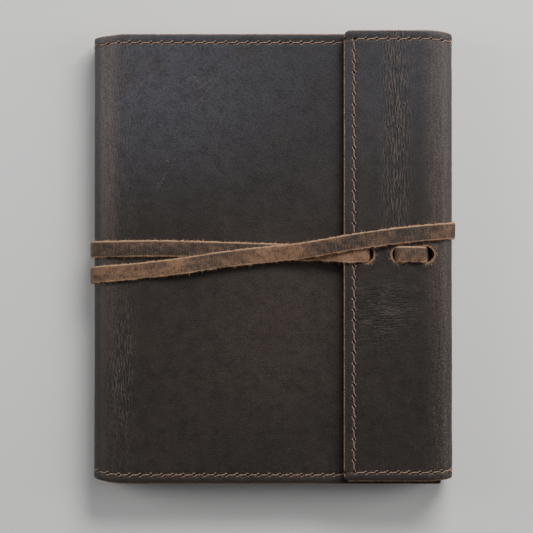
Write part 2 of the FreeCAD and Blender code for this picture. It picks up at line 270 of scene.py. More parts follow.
class Graph:
    """Builds a material's nodes. Values may be numbers, colours or what other nodes give out."""

    def __init__(self, name):
        self.material = bpy.data.materials.new(name)
        self.material.use_nodes = True
        self.tree = self.material.node_tree
        self.shader = self.tree.nodes["Principled BSDF"]
        self.colour = None

    def put(self, socket, value):
        if isinstance(value, Value):
            self.tree.links.new(value.socket, socket)
        elif isinstance(value, tuple) and socket.type == "RGBA":
            socket.default_value = (*value, 1)
        else:
            socket.default_value = value

    def node(self, kind, inputs, output=0, **settings):
        """Adds a node, fills its inputs and gives back one output."""
        n = self.tree.nodes.new("ShaderNode" + kind)
        for key, value in settings.items():
            setattr(n, key, value)
        for key, value in inputs.items():
            self.put(n.inputs[key], value)
        return Value(self, n.outputs[output])

    def flat(self):
        """Where a point lies on the flat hide or lace, in millimetres."""
        return self.node("Attribute", {}, "Vector", attribute_name="flat")

    def edge(self):
        """How far a point lies from the cut edge, in millimetres, or what a slab gives instead."""
        return self.node("Attribute", {}, "Fac", attribute_name="edge")

    def axes(self, vector):
        first = self.node("SeparateXYZ", {0: vector})
        return [Value(self, axis) for axis in first.socket.node.outputs]

    def math(self, operation, a, b=0.0):
        return self.node("Math", {0: a, 1: b}, operation=operation)

    def most(self, first, *others):
        for other in others:
            first = self.math("MAXIMUM", first, other)
        return first

    def distance(self, a, b):
        """How far a place is from the middle, when it is a aside and b up."""
        return self.math("SQRT", self.math("POWER", a, 2.0) + self.math("POWER", b, 2.0))

    def stretch(self, vector, scale, turn=0.0, shift=(0, 0, 0)):
        return self.node("Mapping", {"Vector": vector, "Scale": scale, "Rotation": (0, 0, turn),
                                     "Location": shift})

    def in_plane(self, vector, turn=0.0):
        return self.stretch(vector, (1.0, 1.0, 0.0), turn)

    def noise(self, vector, scale, detail=3.0, rough=0.55, distortion=0.0, turn=0.0,
              shift=(0, 0, 0)):
        """Noise of one scale, or drawn out where the scale has three numbers."""
        if isinstance(scale, tuple):
            vector, scale = self.stretch(vector, scale, turn, shift), 1.0
        return self.node("TexNoise", {"Vector": vector, "Scale": scale, "Detail": detail,
                                      "Roughness": rough, "Distortion": distortion})

    def wave(self, vector, direction, **inputs):
        """Wavy bands across one direction. The inputs are named as the node names them."""
        inputs = {key.replace("_", " "): value for key, value in inputs.items()}
        return self.node("TexWave", {"Vector": vector, **inputs}, "Fac", wave_type="BANDS",
                         bands_direction=direction)

    def span(self, value, low, high, out_low=0.0, out_high=1.0):
        """out_low where the value is low or less, out_high from high on, and smooth between."""
        return self.node("MapRange", {"Value": value, "From Min": low, "From Max": high,
                                      "To Min": out_low, "To Max": out_high},
                         interpolation_type="SMOOTHSTEP")

    def fall(self, value, low, high, most=1.0):
        """The other way round: most where the value is low or less, and 0 from high on."""
        return self.span(value, low, high, most, 0.0)

    def band(self, value, centre, reach):
        """1 at the centre and 0 at reach from it."""
        return self.fall(abs(value - centre), 0.0, reach)

    def mix(self, factor, a, b):
        return self.node("Mix", {"Factor": factor, "A": a, "B": b}, "Result", data_type="RGBA")

    def base(self, value, dark, light, low=0.3, high=0.7):
        """Starts the painting with a cloudy mixture of two colours."""
        self.colour = self.mix(self.span(value, low, high), dark, light)

    def paint(self, factor, colour):
        """Lays a colour over what is painted already, as strongly as the factor says."""
        self.colour = self.mix(factor, self.colour, colour)

    def bump(self, height, distance, strength=1.0, **under):
        return self.node("Bump", {"Strength": strength, "Distance": distance, "Height": height,
                                  **under})

    def finish(self, roughness, specular, **others):
        inputs = {"Base_Color": self.colour, "Roughness": roughness, "Specular_IOR_Level": specular}
        for key, value in {**inputs, **others}.items():
            self.put(self.shader.inputs[key.replace("_", " ")], value)
        return self.material


# ---------------------------------------------------------------- the course of the hide
HALF_HIDE = HIDE / 2
hide_course = Course(
    [(FRONT_HIGH[0], TOP_Z - HALF_HIDE), (SPINE_X + HALF_HIDE, TOP_Z - HALF_HIDE),
     (SPINE_X + HALF_HIDE, BASE_Z + HALF_HIDE), (FORE_X - HALF_HIDE, BASE_Z + HALF_HIDE),
     (FORE_X - HALF_HIDE, FLAP_Z - HALF_HIDE), (FLAP_LOW[0], FLAP_Z - HALF_HIDE)],
    [SPINE_BEND - HALF_HIDE] * 2 + [FORE_BEND - HALF_HIDE] * 2)
QUARTER = math.pi / 2
SPINE_ARC, FORE_ARC = QUARTER * (SPINE_BEND - HALF_HIDE), QUARTER * (FORE_BEND - HALF_HIDE)
# Lengths along the hide at which its stretches begin and end.
S_FRONT_END = FRONT_HIGH[0] - (SPINE_X + SPINE_BEND)
S_SPINE_MID = S_FRONT_END + SPINE_ARC + (TOP_Z - BASE_Z - 2 * SPINE_BEND) / 2
S_BACK_START = 2 * S_SPINE_MID - S_FRONT_END
S_BACK_END = S_BACK_START + (FORE_X - FORE_BEND) - (SPINE_X + SPINE_BEND)
S_BACK_MID = (S_BACK_START + S_BACK_END) / 2
S_FORE_MID = S_BACK_END + FORE_ARC + (FLAP_Z - BASE_Z - 2 * FORE_BEND) / 2
S_FLAP_START = 2 * S_FORE_MID - S_BACK_END
S_END = hide_course.length
S_FLAP_SEAM = S_END - SEAM_INSET - 0.7
S_FRONT_SEAM = SEAM_INSET - 0.4
FLAP_CREASES = S_END - 30


def height_shift(s):
    """How far the sheet's middle lies towards the head: the cover is folded slightly askew."""
    return np.interp(s, [S_FRONT_END, S_BACK_START, S_BACK_END, S_FLAP_START],
                     [FRONT_SHIFT, 0, 0, FLAP_SHIFT])


def lay_y(s, y):
    """A flat place's Y on the cover: head and tail edges draw in where the hide goes round a bend."""
    s, y = np.asarray(s, float), np.asarray(y, float)
    spine = smooth(s, S_FRONT_END - 9, S_SPINE_MID) * (1 - smooth(s, S_SPINE_MID, S_BACK_START + 9))
    fore = smooth(s, S_BACK_END - 8, S_FORE_MID) * (1 - smooth(s, S_FORE_MID, S_FLAP_START + 8))
    pull = 2.6 * spine + 2.4 * fore
    near_edge = smooth(np.abs(y), HEIGHT / 2 - 34, HEIGHT / 2)
    return y + height_shift(s) - np.sign(y) * pull * near_edge


# Where the strap's runs lie, as places in X and Y: the lower and the upper one across the front, and
# the first and the last one across the back.
UNDER_RUN = [(-105.0, 4.2), (-88.0, 4.8), (-67.8, 5.2), (-50.0, 4.9), (-33.0, 4.3), (0.0, 3.3),
             (30.0, 2.2), (46.0, HOLE_Y), (60.0, HOLE_Y)]
OVER_RUN = [(-104.1, -10.5), (-76.4, -7.9), (-52.2, -5.0), (-29.1, -1.3), (-6.0, 1.3),
            (14.2, 3.3), (27.4, 5.3), (40.7, 7.9), (57.4, 10.5), (73.6, 12.6), (90.9, 14.3),
            (103.6, 15.4)]
BACK_RUN = [(-60, 5.6), (0, 9.6), (60, 13.2), (92, 15.0)]
TAIL_RUN = [(-60, -11.6), (-20, -13.2), (30, -15.0)]


def relief(s, y):
    """How far the hide's surface stands above its smooth course, in millimetres."""
    rise = 0.22 * noise(s / 38, y / 52, 3) + 0.10 * noise(s / 13, y / 19, 4)
    rise += 0.05 * noise(s / 5, y / 8, 5)
    edge = HEIGHT / 2 - np.abs(y)
    row = np.where(edge > SEAM_INSET, s - S_FLAP_SEAM, 9)
    for across, along in ((edge - SEAM_INSET, s), (row, y)):
        beat = 0.75 + 0.25 * np.cos(2 * math.pi * along / STITCH_PITCH)
        rise -= 0.26 * beat * np.exp(-(across / 1.15) ** 2)
    # The margin outside the seam puffs up a little and then falls away to the cut edge.
    rise += 0.12 * np.exp(-((edge - 2.6) / 1.6) ** 2)
    rise -= 0.25 * np.exp(-(edge / 0.9) ** 2)
    free = np.minimum(np.abs(S_END - s), 50)
    rise -= 0.20 * np.exp(-(free / 0.9) ** 2)
    # The leather puckers up round the strap's holes.
    for x in HOLE_XS:
        away = np.hypot(s - (S_END - (x - FLAP_LOW[0])), y - (HOLE_Y - FLAP_SHIFT)) - HOLE_RADIUS
        rise += 0.30 * np.exp(-((away - 1.0) / 1.5) ** 2)
    # The creases down the flap stand up as fine ridges.
    creased = np.exp(-((s - FLAP_CREASES) / 6.0) ** 2) * smooth(y, -60, 60)
    rise += 0.05 * creased * noise(s / 1.2 + 0.4 * noise(s / 6, y / 15, 14), y / 12, 15)
    return rise


def side_normals(ring, loop, ends, last):
    """Which way the sheet's outline faces. A butt end has no side of its own except at its corners."""
    tangent = np.roll(ring, -1, axis=0) - np.roll(ring, 1, axis=0)
    out = unit(np.stack([tangent[:, 1], -tangent[:, 0]], axis=1))
    for end, column in enumerate((0, last[0])):
        if ends[end] == "butt":
            at = loop[:, 0] == column
            corners = at & ((loop[:, 1] == 0) | (loop[:, 1] == last[1]))
            out[at] = 0
            out[corners, 1] = np.sign(ring[corners, 1])
    return out


def sheet_piece(name, low, high, ends, thick, places_s, material, lift=0.0):
    """A closed sheet that follows the hide's course. ends says how each end is made: "cut" is a
    rounded raw edge with rounded corners, and "butt" a flat face that meets the next sheet."""
    s, y = np.meshgrid(places_s, ROWS_Y, indexing="ij")
    cuts = [cut for cut, end in zip(((low, 1), (high, -1)), ends) if end == "cut"]
    inside = np.clip(CORNER - (HEIGHT / 2 - np.abs(y)), 0, CORNER)
    cut_back = CORNER - np.sqrt(CORNER ** 2 - inside ** 2)
    for limit, way in cuts:
        s = s + way * EDGE_BULGE * (1 - smooth(way * (s - limit), 0, 3))
        s = s + way * cut_back * (1 - smooth(way * (s - limit), 0, 3 * CORNER))
    y = y * (1 - 2 * EDGE_BULGE / HEIGHT)
    nu, nv = s.shape
    loop = np.array([(i, 0) for i in range(nu)] + [(nu - 1, j) for j in range(1, nv)]
                    + [(i, nv - 1) for i in range(nu - 2, -1, -1)]
                    + [(0, j) for j in range(nv - 2, 0, -1)])
    at_rim = loop[:, 0], loop[:, 1]
    ring = np.stack([s[at_rim], y[at_rim]], axis=1)
    out = side_normals(ring, loop, ends, (nu - 1, nv - 1))
    flats = [np.stack([s.ravel(), y.ravel(), np.full(s.size, depth)], axis=1) for depth in (0.0, 1.0)]
    top = np.arange(nu * nv).reshape(nu, nv)
    bottom = top + nu * nv
    bands, rings = [top[at_rim]], 6
    for k in range(1, rings):
        angle = math.pi * k / rings
        depth = (1 - math.copysign(abs(math.cos(angle)) ** 0.75, math.cos(angle))) / 2
        rough = 0.10 * noise(ring[:, 0] / 0.9 + 7 * k, ring[:, 1] / 0.9, 11 + k)
        side = ring + out * (EDGE_BULGE * math.sin(angle) ** 0.6 + rough)[:, None]
        flats.append(np.column_stack([side, np.full(len(side), depth)]))
        bands.append((2 * nu * nv + (k - 1) * len(loop)) + np.arange(len(loop)))
    bands.append(bottom[at_rim])
    faces = []
    for grid, flip in ((top, False), (bottom, True)):
        a, b = grid[:-1, :-1].ravel(), grid[1:, :-1].ravel()
        c, d = grid[1:, 1:].ravel(), grid[:-1, 1:].ravel()
        faces.append(np.stack([a, b, c, d] if flip else [a, d, c, b], axis=1))
    for upper, lower in zip(bands[:-1], bands[1:]):
        faces.append(np.stack([upper, np.roll(upper, -1), np.roll(lower, -1), lower], axis=1))
    flat = np.concatenate(flats)
    rise = lift + thick / 2 - flat[:, 2] * thick + relief(flat[:, 0], flat[:, 1])
    place = hide_course.point(flat[:, 0]) + hide_course.outward(flat[:, 0]) * rise[:, None]
    points = np.stack([place[:, 0], lay_y(flat[:, 0], flat[:, 1]), place[:, 1]], axis=1)
    edge = HEIGHT / 2 - np.abs(flat[:, 1])
    for limit, way in cuts:
        edge = np.minimum(edge, np.maximum(way * (flat[:, 0] - limit), 0))
    return make_mesh(name, points, np.concatenate(faces).tolist(), {"flat": flat, "edge": edge},
                     material)


# ---------------------------------------------------------------- materials
def needle_holes(g, across, along):
    """1 in the needle holes of a row, for a place so far beside the row and along it."""
    from_hole = (g.math("FRACT", along / STITCH_PITCH + 0.5) - 0.5) * STITCH_PITCH
    return g.fall(g.distance(across, from_hole), 0.45, 0.90)


def seam_marks(g, s, y):
    """Two factors along the seams: the needle holes, painted dark as shade, and the pressed channel,
    painted darker as shade.
    """
    row = HEIGHT / 2 - SEAM_INSET
    inset = row - abs(y)
    holes = needle_holes(g, inset, s)
    channel = g.fall(abs(inset), 0.4, 2.2)
    inside = g.fall(abs(y), row, row + 0.6)
    for place in (S_FLAP_SEAM, S_FRONT_SEAM):
        across = s - place
        holes = g.most(holes, needle_holes(g, across, y) * inside)
        channel = g.most(channel, g.fall(abs(across), 0.4, 1.6) * inside)
    return holes, channel


def strands(g, flat, wide, long, seed, thin=0.05):
    """A net of thin wavy lines that meet and part, from 0 to 1: the level line of a drawn-out noise."""
    level = g.noise(flat, (1 / wide, 1 / long, 0.0), shift=(seed, seed, 0), detail=1.5, rough=0.5,
                    distortion=0.15)
    return g.band(level, 0.5, thin)


def wavy_bands(g, flat, pitch, turn, seed):
    """Wavy ridges that run up the sheet, pitch apart, as a value from 0 between them to 1 on them."""
    turned = g.in_plane(flat, turn)
    place = g.stretch(turned, (1.0, 1 / 1.7, 0.0), shift=(seed, seed, 0))
    scale = 2 * math.pi / 20 / pitch
    return g.wave(place, "X", Scale=scale, Distortion=7.0, Detail=1.5,
                  Detail_Scale=1 / (5.5 * scale))


def hole_rims(g, s, y, wander):
    """1 on the rubbed rims of the strap's three holes."""
    rims = 0.0
    specks = g.span(wander, 0.54, 0.66, 0.0, 0.7)
    for x in HOLE_XS:
        away = g.distance(s - (S_END - (x - FLAP_LOW[0])), y - (HOLE_Y - FLAP_SHIFT))
        away = away + (wander - 0.5) * 2.6
        rims = g.most(rims, g.fall(away, HOLE_RADIUS - 0.7, HOLE_RADIUS + 0.5))
        rims = g.most(rims, g.fall(away, HOLE_RADIUS, HOLE_RADIUS + 3.5) * specks)
    return rims


def crease_lines(g, flat, s, y, cloud):
    """Creases by the spine, down the flap and across it: their crests, lighter from pull-up wear and a
    painted highlight, and their troughs, dark with painted shade.
    """
    by_spine = g.band(s, S_FRONT_END - 7, 11) * g.band(y, -62, 66)
    by_spine = g.most(by_spine * 0.80, g.band(s, S_FRONT_END - 8, 14) * 0.20)
    upright = g.most(by_spine, g.band(s, FLAP_CREASES, 12) * g.span(y, -25, 45))
    level = g.band(s, S_END - 23, 28) * g.band(y, -33, 30) * 0.36
    ridges = g.most(wavy_bands(g, flat, 1.55, 0.11, 3), wavy_bands(g, flat, 1.8, -0.09, 11))
    broken = g.noise(flat, (1 / 2.2, 1 / 8, 0.0), shift=(5, 2, 0), detail=4.0)
    crests = g.span(ridges, 0.72, 0.98) * g.span(broken, 0.40, 0.60, 0.05, 1.0) * upright
    turned = g.in_plane(flat, 0.12)
    across = g.most(strands(g, turned, 19, 3.0, 29), strands(g, turned, 12, 2.0, 37))
    crests = g.most(crests, across * g.span(cloud, 0.40, 0.60) * level)
    troughs = g.most(g.span(ridges, 0.55, 0.15) * upright,
                     strands(g, turned, 15, 2.5, 43, 0.06) * level)
    return crests, troughs


def hide_material():
    """Waxed pull-up hide: dark brown, with a painted cool sheen towards the head over its own cloudy
    tone, and lighter on the folds from pull-up wear and a painted highlight.
    """
    g = Graph("hide_leather")
    flat = g.flat()
    edge = g.edge()
    s, y, depth = g.axes(flat)
    surface = g.in_plane(flat)
    broad = g.noise(surface, 1 / 60, rough=0.5)
    patches = g.noise(g.stretch(surface, (1.0, 0.6, 0), shift=(31, 7, 0)), 1 / 30, detail=4.0)
    cloud = g.noise(surface, 1 / 7, detail=6.0, rough=0.66)
    grain = g.noise(surface, 0.9, rough=0.7)
    streaks = g.noise(flat, (1 / 1.1, 1 / 17, 0.0), detail=4.0, rough=0.65)
    g.base(broad, (0.0185, 0.0138, 0.0112), (0.0265, 0.019, 0.015), 0.32, 0.68)
    # Painted sheen: towards the head the hide is painted cooler, partly by its own cloudy tone, and
    # then lighter and bluer over the front, as the light from above would show on it.
    tone_and_sheen_reach = (broad - 0.5) * 90.0 + y
    g.paint(g.span(tone_and_sheen_reach, -5, 115, 0.0, 0.92), (0.025, 0.0234, 0.0272))
    lit = g.span(y, 12, 112) * g.span(s, 60, 180, 0.12, 1.0)
    g.paint(lit * g.span(s, S_SPINE_MID, S_BACK_MID, 1.0, 0.30), (0.052, 0.0515, 0.064))
    warm = g.band(s, FRONT_HIGH[0] + 2, 70) * g.band(y, -38, 80)
    g.paint(warm * 0.9, (0.039, 0.0264, 0.0202))
    g.paint(g.span(patches, 0.53, 0.74, 0.0, 0.50), (0.04, 0.0255, 0.0185))
    g.paint(g.fall(cloud, 0.28, 0.58, 0.36), (0.011, 0.0086, 0.0078))
    g.paint(g.span(cloud, 0.54, 0.78, 0.0, 0.30), (0.052, 0.04, 0.0345))
    # Pull-up: the wax moves out of the hide where it is bent, and the colour lightens there. This
    # lightening is also a painted highlight on the folds, stronger towards the head.
    fold_wear_and_highlight = g.most(g.band(s, S_FRONT_END + 1.5, 9), g.band(s, S_BACK_START - 3, 9),
                   g.band(s, S_BACK_END + 3, 8), g.band(s, S_FLAP_START + 0.5, 12) * 0.72)
    worn = fold_wear_and_highlight * g.span(streaks, 0.25, 0.75, 0.26, 0.68)
    g.paint(worn * g.span(y, -90, 85, 0.30, 1.0), (0.148, 0.113, 0.098))
    # The fore edge is rubbed through to tan specks, mostly along its lower half.
    specks = g.band(s, S_FLAP_START - 3, 11) * g.span(grain, 0.48, 0.64)
    specks = specks * g.span(streaks, 0.38, 0.58) * g.span(y, -20, 70, 1.0, 0.45)
    g.paint(specks * 0.52, (0.19, 0.133, 0.092))
    crests, troughs = crease_lines(g, flat, s, y, cloud)
    # Painted shade in the crease troughs; the crests get pull-up wear and a painted highlight.
    g.paint(troughs * 0.60, (0.009, 0.0075, 0.007))
    g.paint(crests * 0.70, (0.148, 0.108, 0.089))
    # Faint scuffs that run any way, and thin scratches near the head of the front.
    scuff = g.noise(flat, (0.07, 0.75, 0.0), turn=0.55, detail=4.0, rough=0.72)
    scuff = g.span(scuff, 0.62, 0.78) * g.span(patches, 0.42, 0.62)
    g.paint(scuff * 0.50, (0.085, 0.066, 0.057))
    scratches = strands(g, g.in_plane(flat, -0.65), 6.5, 60, 51, 0.010) * g.span(patches, 0.46, 0.56)
    scratches = scratches * g.band(s, 150, 55) * g.span(y, 15, 60)
    g.paint(scratches * 0.42, (0.11, 0.097, 0.092))
    pores = g.node("TexVoronoi", {"Vector": surface, "Scale": 1.15}, "Distance")
    g.paint(g.span(pores, 0.35, 0.8, 0.0, 0.40), (0.008, 0.0065, 0.006))
    g.paint(g.span(grain, 0.54, 0.76, 0.0, 0.42), (0.064, 0.052, 0.046))
    holes, channel = seam_marks(g, s, y)
    # Painted shade in the pressed channel along the seams.
    g.paint(channel * 0.42, (0.0095, 0.0078, 0.007))
    flecks = channel * g.span(grain, 0.52, 0.66) * g.span(y, -120, 40, 0.80, 0.42)
    g.paint(flecks, (0.21, 0.138, 0.092))
    rubbed = g.fall(edge + cloud * 0.9, 0.9, 1.60, 0.85)
    free_edge = g.fall(S_END - s + cloud * 0.9, 0.9, 1.75)
    fuzzy = g.mix(g.span(grain, 0.35, 0.65), (0.12, 0.066, 0.038), (0.32, 0.198, 0.122))
    g.paint(g.most(rubbed, free_edge, hole_rims(g, s, y, grain)), fuzzy)
    # Painted shade: the needle holes are painted near black.
    g.paint(holes, (0.003, 0.0022, 0.0018))
    # The cut side shows the tan core, and the inner face is the flesh side.
    fibre = g.noise(flat, (2.2, 2.2, 9.0), detail=4.0)
    raw = g.mix(g.span(fibre, 0.3, 0.7), (0.13, 0.08, 0.052), (0.32, 0.215, 0.145))
    g.paint(g.span(depth, 0.03, 0.22), raw)
    fine = g.bump(pores * -0.5 + grain * 0.7 + cloud * 0.6, 0.00022, strength=0.65)
    creased = g.bump(crests - troughs, 0.0004, strength=0.8, Normal=fine)
    pricked = g.bump(1.0 - holes, 0.0005, strength=0.9, Normal=creased)
    rough = g.span(cloud, 0.3, 0.7, 0.46, 0.60) + grain * 0.08 - fold_wear_and_highlight * 0.08
    rough = (rough + g.span(depth, 0.06, 0.3, 0.0, 0.3)).clamped()
    return g.finish(rough, 0.34, Normal=pricked)


def suede_material(name, dark, light, nap=0.9):
    """The flesh side of a thin leather: a short nap with cloudy colour."""
    g = Graph(name)
    flat = g.flat()
    cloud = g.noise(flat, 1 / 26, detail=5.0, rough=0.6)
    brushed = g.noise(flat, (0.35, 1.2, 0.3), turn=0.4, detail=4.0, rough=0.6)
    fibre = g.noise(flat, 3.4, detail=4.0, rough=0.7)
    g.base(cloud, dark, light)
    g.paint(g.span(brushed, 0.35, 0.75, 0.0, 0.35), tuple(c * 1.45 for c in light))
    g.paint(g.fall(fibre, 0.3, 0.6, 0.45), tuple(c * 0.5 for c in dark))
    normal = g.bump(fibre + brushed * 0.6, 0.0002, strength=0.8)
    return g.finish(g.span(fibre, 0.2, 0.8, nap - 0.08, nap), 0.2, Normal=normal,
                    Sheen_Weight=0.12, Sheen_Roughness=0.5)


def strap_material():
    """The lace: oiled brown grain on its face, tan raw edges, paler flesh below."""
    g = Graph("strap_leather")
    flat = g.flat()
    edge = g.edge()
    s, _, depth = g.axes(flat)
    broad = g.noise(flat, (1 / 34, 1 / 16, 0.0), shift=(4, 1, 0))
    cloud = g.noise(flat, (1 / 5, 1 / 4, 0.0), detail=5.0, rough=0.7)
    fine = g.noise(g.in_plane(flat), 1.5, detail=4.0, rough=0.75)
    fibre = g.noise(flat, (0.9, 2.4, 3.0), detail=5.0, rough=0.7)
    # The lace is drier, and so paler, in the weave, where it comes off the flap, and where it
    # crosses over itself.
    worn = g.most(g.span(s, S_WORN_FROM - 45, S_WORN_FROM + 25), g.band(s, S_LACE_OUT + 8, 42),
                  g.span(s, S_LACE_OUT - 16, S_LACE_OUT - 26, 0.0, 0.45))
    bare = g.most(g.band(s, S_LACE_OUT - 12, 34),
                  g.band(s, float(CROSSINGS[:2].mean()), 14) * 0.3)
    dry = worn * 0.62 + g.span(broad, 0.36, 0.62, -0.32, 0.46)
    dry = (dry + bare * 0.80).clamped()
    g.colour = g.mix(dry, (0.044, 0.031, 0.024), (0.24, 0.128, 0.07))
    mottle = g.fall(cloud, 0.36, 0.58, 0.74) * g.span(bare, 0.0, 1.0, 1.0, 0.45)
    g.paint(mottle, (0.025, 0.0175, 0.014))
    g.paint(g.span(cloud, 0.52, 0.72) * g.span(dry, 0.0, 1.0, 0.25, 0.55), (0.225, 0.132, 0.078))
    g.paint(g.fall(fine, 0.34, 0.52, 0.72), (0.022, 0.0155, 0.012))
    g.paint(g.span(fine, 0.53, 0.70, 0.0, 0.70), (0.31, 0.195, 0.125))
    # Fine cross-wise wrinkles, stronger where the lace is darker: painted shade in their troughs, and
    # lighter crests.
    across = g.noise(flat, (1.15, 0.16, 0.0), shift=(0, 3, 0), detail=3.5, rough=0.6,
                     distortion=0.5)
    wrinkled = g.span(dry, 0.25, 0.85, 1.0, 0.22)
    g.paint(g.fall(across, 0.36, 0.50) * wrinkled * 0.55, (0.018, 0.0135, 0.011))
    g.paint(g.span(across, 0.56, 0.70) * wrinkled * 0.35, (0.17, 0.115, 0.085))
    tan = g.mix(g.span(fibre, 0.3, 0.7), (0.23, 0.127, 0.07), (0.62, 0.39, 0.235))
    rubbed = g.fall(edge + fine * 1.3, 0.80, 1.80, 0.95)
    g.paint(rubbed, tan)
    g.paint(g.span(depth, 0.06, 0.35), tan)
    normal = g.bump(fine * 0.9 + fibre * 0.6, 0.0004, strength=0.95)
    normal = g.bump(across, 0.0006, strength=0.8, Normal=normal)
    rough = (g.span(fine, 0.3, 0.7, 0.52, 0.72) + rubbed * 0.2).clamped()
    return g.finish(rough, 0.30, Normal=normal)


def thread_material():
    """Waxed three-ply thread."""
    g = Graph("waxed_thread")
    flat = g.flat()
    fibre = g.noise(flat, (1.2, 5.0, 5.0), detail=4.0, rough=0.6)
    g.base(fibre, (0.17, 0.112, 0.079), (0.38, 0.265, 0.192))
    g.paint(g.span(g.noise(flat, 0.11, detail=2.0), 0.35, 0.7, 0.0, 0.5), (0.19, 0.125, 0.09))
    normal = g.bump(fibre, 0.00008, strength=0.6)
    return g.finish(g.span(fibre, 0.2, 0.8, 0.55, 0.72), 0.35, Normal=normal)


def paper_material():
    """Cream book paper: the edges show the stacked leaves."""
    g = Graph("book_paper")
    flat = g.flat()
    side = g.edge()
    leaves = g.noise(flat, (0.02, 0.02, 9.0), detail=4.0, rough=0.8)
    tooth = g.noise(flat, 2.6, detail=4.0, rough=0.7)
    cloud = g.span(g.noise(flat, 1 / 40), 0.3, 0.7)
    g.colour = g.mix(cloud, (0.64, 0.57, 0.45), (0.72, 0.66, 0.54))
    # Painted shade in the gaps between the stacked leaves on the paper's edges.
    g.paint(g.fall(leaves, 0.42, 0.60, 0.75) * side, (0.28, 0.23, 0.16))
    g.paint(g.span(side, 0.0, 1.0, 0.0, 0.18), (0.45, 0.36, 0.24))
    grooves = g.bump(leaves * side, 0.0003, strength=0.8)
    normal = g.bump(tooth, 0.00004, strength=0.4, Normal=grooves)
    return g.finish(g.span(tooth, 0.2, 0.8, 0.82, 0.92), 0.2, Normal=normal)


def book_cloth_material():
    """Black book cloth over the notebook's boards: a plain weave."""
    g = Graph("book_cloth")
    flat = g.flat()
    warp, weft = (g.wave(flat, way, Scale=0.62, Distortion=0.6) for way in "XY")
    weave = warp * weft
    cloud = g.noise(flat, 1 / 22, detail=4.0)
    g.base(cloud, (0.018, 0.017, 0.018), (0.03, 0.028, 0.028))
    g.paint(weave * 0.5, (0.055, 0.052, 0.05))
    normal = g.bump(weave, 0.0001, strength=0.7)
    return g.finish(g.span(cloud, 0.3, 0.7, 0.70, 0.80), 0.3, Normal=normal)


HIDE_MATERIAL = hide_material()
LINING_MATERIAL = suede_material("lining_leather", (0.070, 0.042, 0.028), (0.120, 0.074, 0.048))
POCKET_MATERIAL = suede_material("pocket_leather", (0.050, 0.031, 0.022), (0.085, 0.054, 0.037))
THREAD_MATERIAL = thread_material()
PAPER_MATERIAL = paper_material()
CLOTH_MATERIAL = book_cloth_material()


# ---------------------------------------------------------------- the hide and its lining
def stand_in(obj, slot, *nodes, body=None, blend=None):
    """Attaches a piece to the body it rides on, or else bakes its place in, and hides the CAD nodes it
    stands for. slot, its finish, and blend, what it blends between, are not used.
    """
    if body:
        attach(obj, body)
    else:
        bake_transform(obj)
    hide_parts(*nodes)


MID_Z_TOP, MID_Z_BACK, MID_Z_FLAP = TOP_Z - HALF_HIDE, BASE_Z + HALF_HIDE, FLAP_Z - HALF_HIDE
SPINE_MID_X, FORE_MID_X = SPINE_X + HALF_HIDE, FORE_X - HALF_HIDE
# The four sheets: name, the CAD stretches it stands for, from, to, how its ends are made, and the
# two bodies on either side of its turn, with the places in X and Z where the turn starts and ends.
SHEETS = [
    ("front", ["front"], 0.0, S_SPINE_MID, ("cut", "butt"),
     (("front", "spine"), (SPINE_X + SPINE_BEND, MID_Z_TOP), (SPINE_MID_X, TOP_Z - SPINE_BEND))),
    ("spine", ["spine"], S_SPINE_MID, S_BACK_MID, ("butt", "butt"),
     (("back", "spine"), (SPINE_X + SPINE_BEND, MID_Z_BACK), (SPINE_MID_X, BASE_Z + SPINE_BEND))),
    ("back", ["back", "fore_edge"], S_BACK_MID, S_FORE_MID, ("butt", "butt"),
     (("back", "fore_edge"), (FORE_X - FORE_BEND, MID_Z_BACK), (FORE_MID_X, BASE_Z + FORE_BEND))),
    ("flap", ["flap"], S_FORE_MID, S_END, ("butt", "cut"),
     (("flap", "fore_edge"), (FORE_X - FORE_BEND, MID_Z_FLAP), (FORE_MID_X, FLAP_Z - FORE_BEND))),
]
# Where the sheets' points lie closer: (centre, reach, step) along the course and up the height.
DENSE_S = ((S_FLAP_SEAM, 7.5, 0.62), (S_FRONT_END + SPINE_ARC / 2, 10, 0.9),
           (S_BACK_START - SPINE_ARC / 2, 10, 0.9), (S_BACK_END + FORE_ARC / 2, 9, 0.9),
           (S_FLAP_START - FORE_ARC / 2, 9, 0.9), (0, 7.5, 0.8), (FLAP_CREASES - 6, 18, 0.8))
ROWS_Y = spaced(-HEIGHT / 2 + 0.3, HEIGHT / 2 - 0.3, 2.6,
                dense=((-HEIGHT / 2, 8.6, 0.62), (HEIGHT / 2, 8.6, 0.62),
                       (HOLE_Y - FLAP_SHIFT, 9.0, 1.0)))


def cut_through(obj, cutter):
    """Takes the cutter's shape out of a piece, and the cutter away."""
    cut = obj.modifiers.new("hole", "BOOLEAN")
    cut.operation, cut.solver, cut.object = "DIFFERENCE", "EXACT", cutter
    graph = bpy.context.evaluated_depsgraph_get()
    mesh = bpy.data.meshes.new_from_object(obj.evaluated_get(graph))
    obj.modifiers.clear()
    old, obj.data = obj.data, mesh
    bpy.data.meshes.remove(old)
    bpy.data.objects.remove(cutter)


def read(mesh, name, field, width):
    """A point attribute's values, one row for each point."""
    values = np.empty(len(mesh.vertices) * width, np.float32)
    mesh.attributes[name].data.foreach_get(field, values)
    return values.reshape(-1, width)


